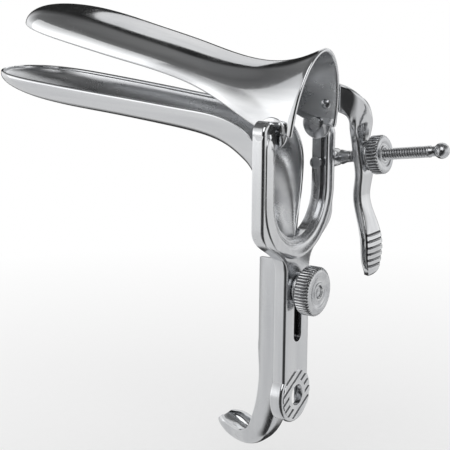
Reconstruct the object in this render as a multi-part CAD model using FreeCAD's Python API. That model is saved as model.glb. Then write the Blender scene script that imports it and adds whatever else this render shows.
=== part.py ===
"""A bivalve speculum: two trough blades on a forked yoke, opened by a thumb lever and held by two nuts.

The blades point along -X, the operator stands on the +X side, and +Z is up.
The origin is the centre of the hole in the yoke's end pad, on the pad's front face.
Sizes are millimetres. Inside the functions, places are measured from the hinge of the upper
blade, and each finished piece is moved from there to the origin in one step.
"""
import FreeCAD
import Part
import math
import os
from FreeCAD import Vector

# Yoke: fork, stem and end pad, pressed as one channel
HINGE_HEIGHT = 96.5          # hinge axis above the pad's hole
CHANNEL_DEPTH = 4.8          # front of the crown to the back of the flanges
CHANNEL_WALL = 1.6
PAD_RISE = 0.4               # the pad's face stands this far in front of the crown
FORK_GAP = 32.0              # clear width between the arms
ARM_WIDTH = 8.0
ARM_TOP_RADIUS = 4.8
FORK_DEPTH = 38.5            # hinge axis to the bottom of the U
SHOULDER_START = 32.0        # where the fork's outside begins to narrow
SHOULDER_END = 50.0
STEM_WIDTH = 16.4
PAD_RADIUS = 10.2
PAD_HOLE_RADIUS = 3.9
HOLE_RING_WIDTH = 1.5
EDGE_ROUND = 1.3
LIP_WIDTH = 1.3
LIP_DROP = 1.3
BOSS_LENGTH = 20.0           # solid stretch at the top of each arm
RIB_COUNT = 6

# Clamping stud, slot, washer and nut
STUD_BELOW_FORK = 18.5       # bottom of the U to the stud
STUD_RADIUS = 2.3
SLOT_CLEARANCE = 0.3
SLIDE_TRAVEL = 17.0
STUD_HEAD_RADIUS = 3.9
STUD_HEAD_LENGTH = 2.0
LOCK_NUT_RADIUS = 8.8
LOCK_NUT_LENGTH = 6.0
LOCK_WASHER_RADIUS = 5.8
LOCK_WASHER_LENGTH = 2.4
BORE_CLEARANCE = 0.05
SEAT_GAP = 0.1

# Blades
BLADE_WALL = 1.5
LOWER_LENGTH = 130.0
LOWER_HALF_WIDTH = 17.5
LOWER_DEPTH = 7.6
LOWER_RISE = 4.3             # degrees
UPPER_LENGTH = 117.0
UPPER_HALF_WIDTH = 16.5
UPPER_DEPTH = 9.3
UPPER_RISE = 11.0            # degrees
UPPER_RIM_LIFT = 9.5         # the straight rim's line, run on to the hinge, passes this far above it
MOUTH_HEIGHT = 27.0
MOUTH_EDGE = 6.8             # the mouth's edge in front of the hinge axis
FLARE_LENGTH = 32.0          # hinge axis to where the mouth begins to swell
LOBE_GAP = 0.3               # between a lobe and its arm
LOBE_RADIUS = 5.6
HINGE_PIN_RADIUS = 1.6
PIN_CLEARANCE = 0.05
LOWER_RIM_LIFT = 2.2         # the straight rim's line, run on to the hinge, passes this far above it
TONGUE_HALF_WIDTH = 4.2

# Handle strip and finger hook of the lower blade
STRIP_CLEARANCE = 0.2        # to the channel's floor
STRIP_SIDE_CLEARANCE = 0.4
STRIP_DEPTH = 10.6
STRIP_WALL = 1.6
STRIP_TOP_DROP = 7.5         # the strip's top end below the bottom of the U
SWEEP_START = 82.0           # hinge axis to where the strip leaves the channel
SWEEP_RADIUS = 68.0
SWEEP_TURN = 26.0            # degrees
HOOK_RADIUS = 11.5
HOOK_TURN = 84.0             # degrees
HOOK_TIP_RADIUS = 24.0
HOOK_TIP_TURN = 26.0         # degrees
HOOK_DEPTH = 7.8
RIVET_RADIUS = 1.2

# Thumb lever, setting rod and setting nut
LEVER_Y = 29.0               # centre plane of the bar and the rod
LEVER_BAR_WIDTH = 8.8
LEVER_BAR_DEPTH = 4.2
LEVER_PLATE_THICKNESS = 2.2
LEVER_PLATE_REACH = 6.5      # hinge axis to the plate's far end
LEVER_PLATE_HEIGHT = 10.2
LEVER_PLATE_WIDTH = 9.8
LEVER_SHOULDER = 12.2        # hinge axis to the bend over the arm
LEVER_REACH = 15.9           # hinge axis to the thumb pad
LEVER_DROP = 56.0            # hinge axis to the pad's lower end
LEVER_SLOT_WIDTH = 5.0
LEVER_SLOT_LENGTH = 11.0
LEVER_HOLE = (10.9, -12.6)
PAD_RIB_COUNT = 6
PAD_GROOVE_RADIUS = 0.6
LEVER_RIVET = (3.9, 7.4)
RIVET_HEAD_RADIUS = 2.4
ROD_PIVOT = (-0.5, -14.4)
ROD_RISE = 9.0               # degrees
ROD_RADIUS = 2.1
ROD_LENGTH = 43.0
ROD_EYE_RADIUS = 3.2
ROD_EYE_WIDTH = 4.4
ROD_NECK_RADIUS = 2.7
ROD_NECK_END = 5.3           # pivot to the end of the rod's tapered neck
BALL_RADIUS = 2.8
ROD_PIN_RADIUS = 1.3
PIN_HEAD_RADIUS = 2.2
PIN_HEAD_LENGTH = 1.0
BRACKET_RADIUS = 3.2
SET_WASHER_RADIUS = 4.8
SET_WASHER_LENGTH = 1.8
SET_NUT_RADIUS = 7.0
SET_NUT_LENGTH = 5.0
KNURL_COUNT = 36
KNURL_DEPTH = 0.45
LEVER_GAP = 0.4              # setting washer to the lever's face

# Worked out from the sizes above
HALF_DEPTH = CHANNEL_DEPTH / 2
FLOOR_BACK = HALF_DEPTH - CHANNEL_WALL
GAP_HALF = FORK_GAP / 2
FORK_HALF = GAP_HALF + ARM_WIDTH
STEM_HALF = STEM_WIDTH / 2
LOBE_OUTER = GAP_HALF - LOBE_GAP
STRIP_FRONT = FLOOR_BACK - STRIP_CLEARANCE
STRIP_HALF = STEM_HALF - CHANNEL_WALL - STRIP_SIDE_CLEARANCE
TONGUE_FRONT = STRIP_FRONT - STRIP_WALL
STUD_DROP = FORK_DEPTH + STUD_BELOW_FORK
STUD_Z = -STUD_DROP
STRIP_TOP_Z = -FORK_DEPTH - STRIP_TOP_DROP
TONGUE_TOP = STRIP_TOP_Z + 2 * RIVET_RADIUS
RIVET_PLACES = (STRIP_TOP_Z - 1.5 * RIVET_RADIUS, STRIP_TOP_Z - 4.5 * RIVET_RADIUS)
PAD_FRONT = HALF_DEPTH + PAD_RISE
AXIS_X, AXIS_Y, AXIS_Z = Vector(1, 0, 0), Vector(0, 1, 0), Vector(0, 0, 1)
TO_ORIGIN = Vector(-PAD_FRONT, 0, HINGE_HEIGHT)


def save(shape, name):
    """Moves a piece from hinge places to the origin and writes it."""
    moved = shape.copy()
    moved.translate(TO_ORIGIN)
    moved.exportStep("parts/" + name + ".step")


def rod_along(axis, start, end, radius, centre):
    """A cylinder along an axis between two places on that axis."""
    foot = Vector(*centre) + axis * start
    return Part.makeCylinder(radius, end - start, foot, axis)


def spline_edge(points, closed=False):
    curve = Part.BSplineCurve()
    curve.interpolate(points, PeriodicFlag=closed)
    return curve.toShape()


def power_arc(half_width, depth, power, count=12):
    """Half of a rounded box: pairs of (sideways, depth) from one rim to the other."""
    pairs = []
    for k in range(count + 1):
        angle = math.pi * (k / count - 0.5)
        side, deep = math.sin(angle), math.cos(angle)
        pairs.append((half_width * math.copysign(abs(side) ** (2 / power), side),
                      depth * abs(deep) ** (2 / power)))
    return pairs


def trough_section(rim, lean, half_width, depth, wall, power=2.0):
    """The closed outline of a trough across its length.

    rim is the (x, z) middle of the rim line. lean is the direction of the trough's bottom
    from there, in degrees from +X towards +Z.
    """
    down = Vector(math.cos(math.radians(lean)), 0, math.sin(math.radians(lean)))
    middle = Vector(rim[0], 0, rim[1])

    def edge(width, deep):
        return [middle + AXIS_Y * side + down * below for side, below in power_arc(width, deep, power)]

    inner = edge(half_width, depth)
    outer = edge(half_width + wall, depth + wall)
    return Part.Wire([spline_edge(inner), Part.makeLine(inner[-1], outer[-1]),
                      spline_edge(outer[::-1]), Part.makeLine(outer[0], inner[0])])


def oval_section(centre, wide, thick, power=4.0, count=16):
    """A closed rounded box round a centre. wide and thick are half-size vectors."""
    points = []
    for k in range(count):
        angle = 2 * math.pi * k / count
        across, through = math.cos(angle), math.sin(angle)
        points.append(Vector(*centre)
                      + wide * math.copysign(abs(across) ** (2 / power), across)
                      + thick * math.copysign(abs(through) ** (2 / power), through))
    return Part.Wire([spline_edge(points, closed=True)])


def fork_outline(inset):
    """The yoke's outside seen from the front, drawn in the YZ plane, moved in by inset."""
    side = FORK_HALF - inset
    stem = STEM_HALF - inset
    arm_in = GAP_HALF + inset
    top = ARM_TOP_RADIUS - inset
    u_low = -FORK_DEPTH - inset

    def at(y, z):
        return Vector(0, y, z)

    def ease(y_from, z_from, y_to, z_to):
        reach = (z_to - z_from) / 2
        curve = Part.BezierCurve()
        curve.setPoles([at(y_from, z_from), at(y_from, z_from + reach),
                        at(y_to, z_to - reach), at(y_to, z_to)])
        return curve.toShape()

    def arm_top(near, far):
        return Part.Arc(at(near, 0), at((near + far) / 2, top), at(far, 0)).toShape()

    bend = GAP_HALF + inset
    bend_z = u_low + bend
    edges = [arm_top(side, arm_in), Part.makeLine(at(arm_in, 0), at(arm_in, bend_z)),
             Part.Arc(at(bend, bend_z), at(0, u_low), at(-bend, bend_z)).toShape(),
             Part.makeLine(at(-arm_in, bend_z), at(-arm_in, 0)), arm_top(-arm_in, -side),
             Part.makeLine(at(-side, 0), at(-side, -SHOULDER_START)),
             ease(-side, -SHOULDER_START, -stem, -SHOULDER_END),
             Part.makeLine(at(-stem, -SHOULDER_END), at(-stem, -HINGE_HEIGHT)),
             Part.makeLine(at(-stem, -HINGE_HEIGHT), at(stem, -HINGE_HEIGHT)),
             Part.makeLine(at(stem, -HINGE_HEIGHT), at(stem, -SHOULDER_END)),
             ease(stem, -SHOULDER_END, side, -SHOULDER_START),
             Part.makeLine(at(side, -SHOULDER_START), at(side, 0))]
    return Part.Face(Part.Wire(edges))


def slab(face, back, front):
    """A YZ face stretched along X from back to front."""
    body = face.extrude(AXIS_X * (front - back))
    body.translate(AXIS_X * back)
    return body


def box(x_range, y_range, z_range):
    low = Vector(x_range[0], y_range[0], z_range[0])
    return Part.makeBox(x_range[1] - x_range[0], y_range[1] - y_range[0], z_range[1] - z_range[0], low)


def yoke():
    """Fork, stem and pad, with the channel open at the back for the handle strip."""
    hole = (0, 0, -HINGE_HEIGHT)
    body = slab(fork_outline(0), -HALF_DEPTH, HALF_DEPTH)
    pad = rod_along(AXIS_X, -HALF_DEPTH, HALF_DEPTH, PAD_RADIUS, hole)
    body = body.fuse(pad).removeSplitter()
    front_edges = [e for e in body.Edges
                   if abs(e.BoundBox.XMin - HALF_DEPTH) < 1e-6 and abs(e.BoundBox.XMax - HALF_DEPTH) < 1e-6]
    body = body.makeFillet(EDGE_ROUND, front_edges)

    below_bosses = box((-HALF_DEPTH, FLOOR_BACK), (-FORK_HALF, FORK_HALF),
                       (-HINGE_HEIGHT + PAD_RADIUS, -BOSS_LENGTH))
    pocket = slab(fork_outline(CHANNEL_WALL), -HALF_DEPTH, FLOOR_BACK).common(below_bosses)
    channel_half = STEM_HALF - CHANNEL_WALL
    guide = box((-HALF_DEPTH, FLOOR_BACK), (-channel_half, channel_half),
                (-HINGE_HEIGHT - PAD_RADIUS, -FORK_DEPTH - CHANNEL_WALL))
    relief = box((-HALF_DEPTH, -FLOOR_BACK), (-channel_half, channel_half), (-SHOULDER_END, -FORK_DEPTH + 3))
    body = body.cut(pocket).cut(guide).cut(relief)

    lip_ring = slab(u_shape(LIP_WIDTH), HALF_DEPTH - LIP_DROP, HALF_DEPTH)
    body = body.cut(lip_ring)

    slot_half = STUD_RADIUS + SLOT_CLEARANCE
    for z in (STUD_Z, STUD_Z - SLIDE_TRAVEL):
        body = body.cut(rod_along(AXIS_X, -HALF_DEPTH, HALF_DEPTH, slot_half, (0, 0, z)))
    body = body.cut(box((-HALF_DEPTH, HALF_DEPTH), (-slot_half, slot_half), (STUD_Z - SLIDE_TRAVEL, STUD_Z)))

    raised = rod_along(AXIS_X, HALF_DEPTH - CHANNEL_WALL / 2, PAD_FRONT, PAD_RADIUS - EDGE_ROUND, hole)
    body = body.fuse(pad_ribs(raised, hole))
    body = body.cut(rod_along(AXIS_X, -HALF_DEPTH, PAD_FRONT, PAD_HOLE_RADIUS, hole))

    body = body.cut(rod_along(AXIS_Y, -FORK_HALF, FORK_HALF, HINGE_PIN_RADIUS, (0, 0, 0)))
    pivot = (ROD_PIVOT[0], 0, ROD_PIVOT[1])
    bracket_end = LEVER_Y - ROD_EYE_WIDTH / 2 - SEAT_GAP
    body = body.fuse(rod_along(AXIS_Y, FORK_HALF - EDGE_ROUND, bracket_end, BRACKET_RADIUS, pivot))
    return body.cut(rod_along(AXIS_Y, 0, bracket_end, ROD_PIN_RADIUS, pivot))


def u_shape(margin):
    """A face over the fork's gap, wider than it by margin, closed above the arms."""
    half = GAP_HALF + margin
    bend_z = -FORK_DEPTH + GAP_HALF
    top = 2 * ARM_TOP_RADIUS
    corners = [Vector(0, -half, bend_z), Vector(0, -half, top), Vector(0, half, top), Vector(0, half, bend_z)]
    low = Part.Arc(corners[3], Vector(0, 0, bend_z - half), corners[0]).toShape()
    sides = [Part.makeLine(a, b) for a, b in zip(corners, corners[1:])]
    return Part.Face(Part.Wire(sides + [low]))


def pad_ribs(raised, hole):
    """The pad's raised face, crossed by slanting grooves, with a plain ring round the hole."""
    pitch = 2 * PAD_RADIUS / (RIB_COUNT + 1)
    groove_half = pitch / 5
    grooved = raised
    for k in range(-RIB_COUNT // 2, RIB_COUNT // 2 + 1):
        groove = box((HALF_DEPTH, PAD_FRONT), (-PAD_RADIUS, PAD_RADIUS),
                     (k * pitch - groove_half, k * pitch + groove_half))
        groove.rotate(Vector(0, 0, 0), AXIS_X, 30)
        groove.translate(Vector(*hole))
        grooved = grooved.cut(groove)
    ring = rod_along(AXIS_X, HALF_DEPTH - CHANNEL_WALL / 2, PAD_FRONT, PAD_HOLE_RADIUS + HOLE_RING_WIDTH, hole)
    return grooved.fuse(ring)


def hinge_pin(side):
    """A pin fixed in one arm, flush outside, that carries a lobe of the upper blade."""
    inner = LOBE_OUTER - BLADE_WALL - PIN_HEAD_LENGTH / 2
    pin = rod_along(AXIS_Y, inner, FORK_HALF, HINGE_PIN_RADIUS, (0, 0, 0))
    head = rod_along(AXIS_Y, inner - PIN_HEAD_LENGTH, inner, PIN_HEAD_RADIUS, (0, 0, 0))
    pin = pin.fuse(head)
    if side < 0:
        pin = pin.mirror(Vector(0, 0, 0), AXIS_Y)
    return pin


def rod_pivot_pin():
    """The pin of the setting rod, fixed in the far arm and headed at both ends."""
    pivot = (ROD_PIVOT[0], 0, ROD_PIVOT[1])
    outer = LEVER_Y + ROD_EYE_WIDTH / 2 + SEAT_GAP
    shank = rod_along(AXIS_Y, GAP_HALF, outer, ROD_PIN_RADIUS, pivot)
    inner_head = rod_along(AXIS_Y, GAP_HALF - PIN_HEAD_LENGTH, GAP_HALF, PIN_HEAD_RADIUS, pivot)
    outer_head = rod_along(AXIS_Y, outer, outer + PIN_HEAD_LENGTH, PIN_HEAD_RADIUS, pivot)
    return shank.fuse(inner_head).fuse(outer_head)


def upper_stations():
    """The upper blade's sections from tip to mouth: rim place, lean, half width, depth."""
    lean = 90 - UPPER_RISE
    slope = math.tan(math.radians(UPPER_RISE))
    stations = []
    for along, wide, deep in ((0.999, 0.1, 0.06), (0.98, 0.44, 0.33), (0.925, 0.77, 0.65),
                              (0.84, 0.96, 0.88), (0.72, 1.0, 1.0), (0.555, 0.97, 0.97), (0.39, 0.91, 0.92)):
        x = -along * UPPER_LENGTH
        stations.append(((x, UPPER_RIM_LIFT - x * slope), lean, UPPER_HALF_WIDTH * wide, UPPER_DEPTH * deep))
    swell_height = UPPER_RIM_LIFT + FLARE_LENGTH * slope
    for back, lift, turn, deep in ((1.0, 0.92, 0, 0.34), (0.625, 0.59, 0, 0.46), (0.28, 0.23, 0, 0.68),
                                   (0.03, 0.05, 1, 0.86)):
        stations.append(((-FLARE_LENGTH * back, swell_height * lift), lean + turn,
                         LOBE_OUTER - BLADE_WALL, MOUTH_HEIGHT * deep))
    stations.append(((MOUTH_EDGE, 0), lean + 3, LOBE_OUTER - BLADE_WALL, MOUTH_HEIGHT))
    return stations


def upper_blade():
    """The upper blade: an inverted trough that swells into the mouth and ends in two lobes."""
    sections = [trough_section(rim, lean, w, d, BLADE_WALL) for rim, lean, w, d in upper_stations()]
    shell = Part.makeLoft(sections, True, False)
    for side in (-1, 1):
        near, far = sorted((side * (LOBE_OUTER - BLADE_WALL), side * LOBE_OUTER))
        shell = shell.fuse(rod_along(AXIS_Y, near, far, LOBE_RADIUS, (0, 0, 0)))
    shell = shell.cut(rod_along(AXIS_Y, -GAP_HALF, GAP_HALF, HINGE_PIN_RADIUS + PIN_CLEARANCE, (0, 0, 0)))
    return shell.cut(lever_rivet())


def mouth_wall(x, z):
    """How far out the far wall's outside stands at a place, and how much it leans in per mm of height."""
    behind, before = upper_stations()[-3:-1] if x < -FLARE_LENGTH * 0.03 else upper_stations()[-2:]
    share = (x - behind[0][0]) / (before[0][0] - behind[0][0])
    rim_z = behind[0][1] + share * (before[0][1] - behind[0][1])
    depth = behind[3] + share * (before[3] - behind[3]) + BLADE_WALL
    height = (z - rim_z) / depth
    stand = math.sqrt(1 - height ** 2)
    return LOBE_OUTER * stand, LOBE_OUTER * height / stand / depth


def lower_stations():
    """The lower blade's sections from tip to tongue: rim place, lean, half width, depth."""
    slope = math.tan(math.radians(LOWER_RISE))
    stations = []
    for along, wide, deep in ((0.999, 0.1, 0.06), (0.98, 0.44, 0.3), (0.935, 0.75, 0.6), (0.86, 0.95, 0.86),
                              (0.75, 1.0, 1.0), (0.58, 0.97, 1.0), (0.4, 0.89, 1.03), (0.27, 0.85, 1.12)):
        x = -along * LOWER_LENGTH
        stations.append(((x, LOWER_RIM_LIFT - x * slope), -90 - LOWER_RISE,
                         LOWER_HALF_WIDTH * wide, LOWER_DEPTH * deep))
    for x, drop, lean, wide, deep in ((-21.6, -0.09, -104, 0.83, 1.4), (-10.5, 0.03, -127, 0.8, 1.6),
                                      (-5.2, 0.235, -150, 0.71, 1.35), (-3.6, 0.49, -166, 0.59, 0.95),
                                      (-3.2, 0.755, -175, 0.45, 0.5), (-2.4, 0.99, -180, 0.28, 0.18)):
        stations.append(((x, -drop * FORK_DEPTH), lean, LOWER_HALF_WIDTH * wide, LOWER_DEPTH * deep))
    stations.append(((TONGUE_FRONT - 0.1, TONGUE_TOP - 1), -180, TONGUE_HALF_WIDTH - BLADE_WALL / 2, 0.3))
    return stations


def tongue():
    """The flat end of the lower blade, which lies in the handle strip."""
    return box((TONGUE_FRONT - BLADE_WALL, TONGUE_FRONT), (-TONGUE_HALF_WIDTH, TONGUE_HALF_WIDTH),
               (STUD_Z + STUD_HEAD_RADIUS + 1, TONGUE_TOP))


def lower_blade():
    """The lower blade: a trough that turns down into an apron and a tongue for the handle strip."""
    sections = [trough_section(rim, lean, w, d, BLADE_WALL) for rim, lean, w, d in lower_stations()]
    shell = Part.makeLoft(sections, True, False)
    blade = shell.fuse(tongue())
    for z in RIVET_PLACES:
        blade = blade.cut(rod_along(AXIS_X, -STRIP_DEPTH, STRIP_DEPTH, RIVET_RADIUS, (0, 0, z)))
    return blade


def handle_strip():
    """The gutter that slides in the yoke's channel, sweeps back from it and ends in a finger hook."""
    inner_half = STRIP_HALF - STRIP_WALL

    def section(floor, turn, wide, deep, power):
        """A cut across the gutter, where the floor's front has come to floor and turned by turn degrees."""
        a = math.radians(turn)
        inner_depth = deep - STRIP_WALL
        rim = (floor[0] - deep * math.cos(a), floor[1] + deep * math.sin(a))
        return trough_section(rim, -turn, inner_half * wide, inner_depth, STRIP_WALL, power)

    def onward(start, turn, radius, further):
        """Where the floor comes to from start, after turning further degrees at a radius."""
        a, b = math.radians(turn), math.radians(turn + further)
        return (start[0] - radius * (math.cos(a) - math.cos(b)),
                start[1] - radius * (math.sin(b) - math.sin(a)))

    top = Part.Face(section((STRIP_FRONT, STRIP_TOP_Z), 0, 1.0, STRIP_DEPTH, 5.0))
    lead_in = SWEEP_RADIUS * math.radians(SWEEP_TURN) / 5
    straight = top.extrude(AXIS_Z * (lead_in - SWEEP_START - STRIP_TOP_Z))
    floor, turn = (STRIP_FRONT, -SWEEP_START), 0
    sections = [section((STRIP_FRONT, z), 0, 1.0, STRIP_DEPTH, 5.0)
                for z in (lead_in - SWEEP_START, -SWEEP_START)]
    sweep = [(k / 5, 1.0, STRIP_DEPTH + (HOOK_DEPTH - STRIP_DEPTH) * k / 5, 5.0 - 0.24 * k) for k in range(1, 6)]
    hook = [(k / 3, 1.0 + 0.05 * k, HOOK_DEPTH * (1 - 0.09 * k), 3.8 - 0.3 * k) for k in range(1, 4)]
    tip = [(0.4, 1.15, HOOK_DEPTH * 0.68, 2.8), (0.75, 1.0, HOOK_DEPTH * 0.58, 2.6),
           (1.0, 0.55, HOOK_DEPTH * 0.42, 2.4)]
    for radius, turned, cuts in ((SWEEP_RADIUS, SWEEP_TURN, sweep), (HOOK_RADIUS, HOOK_TURN, hook),
                                 (HOOK_TIP_RADIUS, HOOK_TIP_TURN, tip)):
        for share, wide, deep, power in cuts:
            reached = onward(floor, turn, radius, turned * share)
            sections.append(section(reached, turn + turned * share, wide, deep, power))
        floor, turn = onward(floor, turn, radius, turned), turn + turned
    strip = straight.fuse(Part.makeLoft(sections, True, False)).removeSplitter()
    strip = strip.cut(tongue()).cut(stud_head())
    for z in RIVET_PLACES:
        strip = strip.cut(rod_along(AXIS_X, -STRIP_DEPTH, STRIP_DEPTH, RIVET_RADIUS, (0, 0, z)))
    return strip.cut(rod_along(AXIS_X, -STRIP_DEPTH, STRIP_DEPTH, STUD_RADIUS, (0, 0, STUD_Z)))


def handle_rivets():
    """Two flush rivets through the strip's floor and the blade's tongue."""
    back = TONGUE_FRONT - BLADE_WALL
    return Part.makeCompound([rod_along(AXIS_X, back, STRIP_FRONT, RIVET_RADIUS, (0, 0, z))
                              for z in RIVET_PLACES])


def stud_head():
    at = (0, 0, STUD_Z)
    return rod_along(AXIS_X, TONGUE_FRONT - STUD_HEAD_LENGTH, TONGUE_FRONT, STUD_HEAD_RADIUS, at)


def lock_stud():
    """The clamping stud: its head sits in the strip, its shank passes through the slot."""
    at = (0, 0, STUD_Z)
    front = HALF_DEPTH + SEAT_GAP + LOCK_WASHER_LENGTH + SEAT_GAP + LOCK_NUT_LENGTH - 0.5
    return stud_head().fuse(rod_along(AXIS_X, TONGUE_FRONT, front, STUD_RADIUS, at))


def domed_washer(radius, length, bore):
    """A washer about +X from the origin, rounded at its outer edges."""
    disc = Part.makeCylinder(radius, length, Vector(0, 0, 0), AXIS_X)
    disc = disc.makeFillet(length * 0.4, [e for e in disc.Edges if e.BoundBox.YLength > radius])
    return disc.cut(Part.makeCylinder(bore, length, Vector(0, 0, 0), AXIS_X))


def knurled_nut(radius, length, bore):
    """A round nut about +X from the origin, with straight knurling and bevelled rims."""
    bevel = radius / 12
    rim = Part.Wire(Part.makePolygon([Vector(0, 0, 0), Vector(0, radius - bevel, 0), Vector(bevel, radius, 0),
                                      Vector(length - bevel, radius, 0), Vector(length, radius - bevel, 0),
                                      Vector(length, 0, 0), Vector(0, 0, 0)]))
    nut = Part.Face(rim).revolve(Vector(0, 0, 0), AXIS_X, 360)
    groove_half = math.pi * radius / KNURL_COUNT / 2
    tools = []
    for k in range(KNURL_COUNT):
        notch = Part.Face(Part.makePolygon([Vector(0, -groove_half, radius + 0.1),
                                            Vector(0, groove_half, radius + 0.1),
                                            Vector(0, 0, radius - KNURL_DEPTH),
                                            Vector(0, -groove_half, radius + 0.1)]))
        tool = notch.extrude(AXIS_X * length)
        tool.rotate(Vector(0, 0, 0), AXIS_X, 360 * k / KNURL_COUNT)
        tools.append(tool)
    nut = nut.cut(Part.makeCompound(tools))
    return nut.cut(Part.makeCylinder(bore, length, Vector(0, 0, 0), AXIS_X))


def on_stud(shape, start):
    moved = shape.copy()
    moved.translate(Vector(HALF_DEPTH + start, 0, STUD_Z))
    return moved


def on_rod(shape, start):
    """Places a piece made about +X on the setting rod, start along from its pivot."""
    moved = shape.copy()
    moved.translate(AXIS_X * start)
    moved.rotate(Vector(0, 0, 0), AXIS_Y, -ROD_RISE)
    moved.translate(Vector(ROD_PIVOT[0], LEVER_Y, ROD_PIVOT[1]))
    return moved


def rivet_shank():
    """The shank of the rivet that joins the lever's plate to the far wall of the mouth."""
    at = (LEVER_RIVET[0], 0, LEVER_RIVET[1])
    return rod_along(AXIS_Y, GAP_HALF / 2, LOBE_OUTER + LEVER_PLATE_THICKNESS, RIVET_RADIUS, at)


def lever_rivet():
    """The rivet, with a low domed head inside the mouth."""
    x, z = LEVER_RIVET
    size = RIVET_HEAD_RADIUS
    under = LOBE_OUTER - BLADE_WALL - size / 12
    wide = box((x - size, x + size), (under - size / 3, FORK_HALF), (z - size, z + size))
    flat = box((x - size, x + size), (under - size, under), (z - size, z + size))
    head = Part.makeSphere(size, Vector(x, under + size * 0.42, z)).common(flat)
    return rivet_shank().common(wide).fuse(head)


def lever_slot():
    """The slot that the rod passes through, cut along the rod."""
    half = LEVER_SLOT_WIDTH / 2
    straight = LEVER_SLOT_LENGTH / 2 - half
    reach = math.hypot(LEVER_HOLE[0] - ROD_PIVOT[0], LEVER_HOLE[1] - ROD_PIVOT[1])
    near, far = reach - LEVER_BAR_DEPTH, reach + LEVER_BAR_DEPTH
    slot = box((near, far), (-half, half), (-straight, straight))
    for end in (-straight, straight):
        slot = slot.fuse(rod_along(AXIS_X, near, far, half, (0, 0, end)))
    return on_rod(slot, 0)


def thumb_lever():
    """The lever: a plate on the far wall that crosses the arm, turns down and ends in a ribbed pad."""
    half_bar, half_depth = LEVER_BAR_WIDTH / 2, LEVER_BAR_DEPTH / 2
    half_plate = LEVER_PLATE_THICKNESS / 2
    rise = math.radians(ROD_RISE)
    through = Vector(-half_depth * math.cos(rise), 0, -half_depth * math.sin(rise))

    def along_bar(up):
        """A place on the stretch of bar that stands square to the rod."""
        return LEVER_HOLE[0] - up * math.sin(rise), LEVER_Y, LEVER_HOLE[1] + up * math.cos(rise)

    def on_wall(x, z, wide):
        """A section of the plate where it lies on the mouth's far wall."""
        stand, lean = mouth_wall(x, z)
        return (x, stand + half_plate + SEAT_GAP, z), Vector(0, -lean, 1) * wide, Vector(0, 1, lean) * half_plate

    def across(share):
        """A sideways place between the plate and the bar."""
        return LOBE_OUTER + share * (LEVER_Y - LOBE_OUTER)

    end, high, wide = LEVER_PLATE_REACH, LEVER_PLATE_HEIGHT, LEVER_PLATE_WIDTH / 2
    drop, out = LEVER_DROP, LEVER_REACH
    bar = Vector(0, half_bar, 0)
    stations = (
        on_wall(-end, high * 1.16, wide * 0.4),
        on_wall(-end * 0.46, high * 1.1, wide * 0.85),
        on_wall(end * 0.62, high, wide),
        ((end * 1.42, across(0.1), high * 0.86), Vector(0.41, -0.12, 0.94) * wide,
         Vector(-0.2, 1.1, 0.1) * half_plate),
        ((LEVER_SHOULDER, across(0.4), high * 0.53), Vector(0.53, 0.37, 0.61) * wide,
         Vector(-0.52, 0.67, 0.1) * half_depth),
        ((LEVER_SHOULDER * 0.95, across(0.79), -high * 0.12), Vector(0.27, 1, 0.18) * half_bar,
         Vector(-1, 0.19, -0.1) * half_depth),
        (along_bar(LEVER_SLOT_LENGTH * 0.45), bar, through),
        (along_bar(0), bar, through),
        (along_bar(-LEVER_SLOT_LENGTH * 0.55), bar, through),
        ((out * 0.7, LEVER_Y, -drop * 0.482), bar * 0.85, Vector(-1, 0, -0.05) * half_depth),
        ((out * 0.855, LEVER_Y, -drop * 0.643), bar * 1.05, Vector(-1, 0, -0.24) * half_depth),
        ((out * 0.994, LEVER_Y, -drop * 0.804), bar * 1.35, Vector(-1, 0, -0.1) * half_depth),
        ((out, LEVER_Y, -drop * 0.929), bar * 1.1, Vector(-0.9, 0, 0.14) * half_depth),
        ((out * 0.943, LEVER_Y, -drop), bar * 0.5, Vector(-0.5, 0, 0.1) * half_depth),
    )
    lever = Part.makeLoft([oval_section(*s) for s in stations], True, False)
    lever = lever.cut(lever_slot())
    for k in range(PAD_RIB_COUNT):
        face = (out * (0.956 + 0.003 * k) + half_depth, 0, -drop * (0.723 + 0.041 * k))
        groove = rod_along(AXIS_Y, LEVER_Y - half_bar * 1.1, LEVER_Y + half_bar * 2, PAD_GROOVE_RADIUS, face)
        lever = lever.cut(groove)
    return lever.cut(rivet_shank())


def setting_rod():
    """The rod that the setting nut runs on, made about +X and laid on its pivot."""
    eye = rod_along(AXIS_Y, -ROD_EYE_WIDTH / 2, ROD_EYE_WIDTH / 2, ROD_EYE_RADIUS, (0, 0, 0))
    shank = Part.makeCylinder(ROD_RADIUS, ROD_LENGTH - BALL_RADIUS, Vector(0, 0, 0), AXIS_X)
    hollow = rod_along(AXIS_Y, -ROD_EYE_WIDTH, ROD_EYE_WIDTH, ROD_EYE_RADIUS - 0.5, (0, 0, 0))
    neck = Part.makeCone(ROD_NECK_RADIUS, ROD_RADIUS, ROD_NECK_END - ROD_EYE_RADIUS - 0.2,
                         Vector(ROD_EYE_RADIUS + 0.2, 0, 0), AXIS_X)
    rod = eye.fuse(shank.cut(hollow)).fuse(neck)
    rod = rod.cut(rod_along(AXIS_Y, -ROD_EYE_WIDTH, ROD_EYE_WIDTH, ROD_PIN_RADIUS + PIN_CLEARANCE, (0, 0, 0)))
    return on_rod(rod, 0)


def rod_ball():
    """The ball riveted on the rod's end, which keeps the nut on."""
    ball = Part.makeSphere(BALL_RADIUS, Vector(ROD_LENGTH, 0, 0))
    shank = Part.makeCylinder(ROD_RADIUS, ROD_LENGTH - BALL_RADIUS, Vector(0, 0, 0), AXIS_X)
    return on_rod(ball.cut(shank), 0)


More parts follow.
